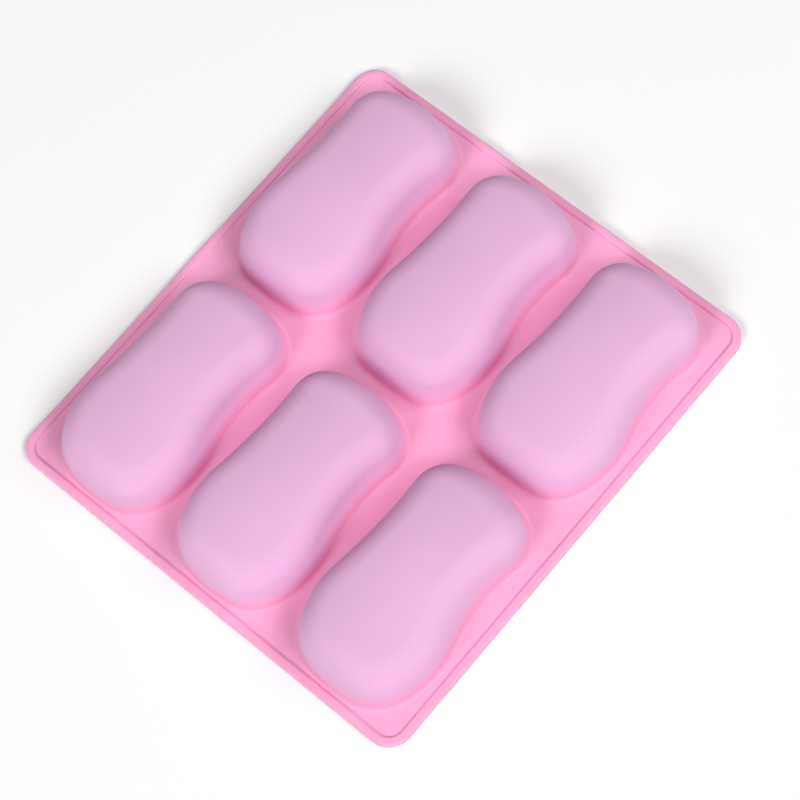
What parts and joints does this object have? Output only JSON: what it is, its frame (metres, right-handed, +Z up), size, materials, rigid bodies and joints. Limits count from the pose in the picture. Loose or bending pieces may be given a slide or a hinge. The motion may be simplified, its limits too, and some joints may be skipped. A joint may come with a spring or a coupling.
{
  "type": "silicone soap mould",
  "caption": "Flexible silicone mould whose waisted, dome-bottomed cups shape soap bars; each cup floor presses in to push a set bar out.",
  "frame": {"origin": "centre of the footprint, on the surface that the rim rests on", "axes": "+X along the long side of the tray, towards the narrow ends of the cups; +Y along the short side; +Z up, from the pouring side to the cup floors"},
  "size_m": [0.24, 0.2168, 0.0315],
  "materials": {
    "silicone": "soft matte silicone rubber, pink, one colour throughout"
  },
  "bodies": {
    "tray": {"rim_bead": "silicone", "deck": "silicone", "cup_wall_a1": "silicone", "cup_wall_a2": "silicone", "cup_wall_a3": "silicone", "cup_wall_b1": "silicone", "cup_wall_b2": "silicone", "cup_wall_b3": "silicone"},
    "floor_a1": {"cup_floor_a1": "silicone"},
    "floor_a2": {"cup_floor_a2": "silicone"},
    "floor_a3": {"cup_floor_a3": "silicone"},
    "floor_b1": {"cup_floor_b1": "silicone"},
    "floor_b2": {"cup_floor_b2": "silicone"},
    "floor_b3": {"cup_floor_b3": "silicone"}
  },
  "joints": [
    {"name": "press_a1", "type": "slide", "parent": "tray", "child": "floor_a1", "axis": [0, 0, -1], "range_m": [0, 0.008], "stiffness_N_per_m": 1000, "deforming": ["cup_wall_a1"]},
    {"name": "press_a2", "type": "slide", "parent": "tray", "child": "floor_a2", "axis": [0, 0, -1], "range_m": [0, 0.008], "stiffness_N_per_m": 1000, "deforming": ["cup_wall_a2"]},
    {"name": "press_a3", "type": "slide", "parent": "tray", "child": "floor_a3", "axis": [0, 0, -1], "range_m": [0, 0.008], "stiffness_N_per_m": 1000, "deforming": ["cup_wall_a3"]},
    {"name": "press_b1", "type": "slide", "parent": "tray", "child": "floor_b1", "axis": [0, 0, -1], "range_m": [0, 0.008], "stiffness_N_per_m": 1000, "deforming": ["cup_wall_b1"]},
    {"name": "press_b2", "type": "slide", "parent": "tray", "child": "floor_b2", "axis": [0, 0, -1], "range_m": [0, 0.008], "stiffness_N_per_m": 1000, "deforming": ["cup_wall_b2"]},
    {"name": "press_b3", "type": "slide", "parent": "tray", "child": "floor_b3", "axis": [0, 0, -1], "range_m": [0, 0.008], "stiffness_N_per_m": 1000, "deforming": ["cup_wall_b3"]}
  ]
}
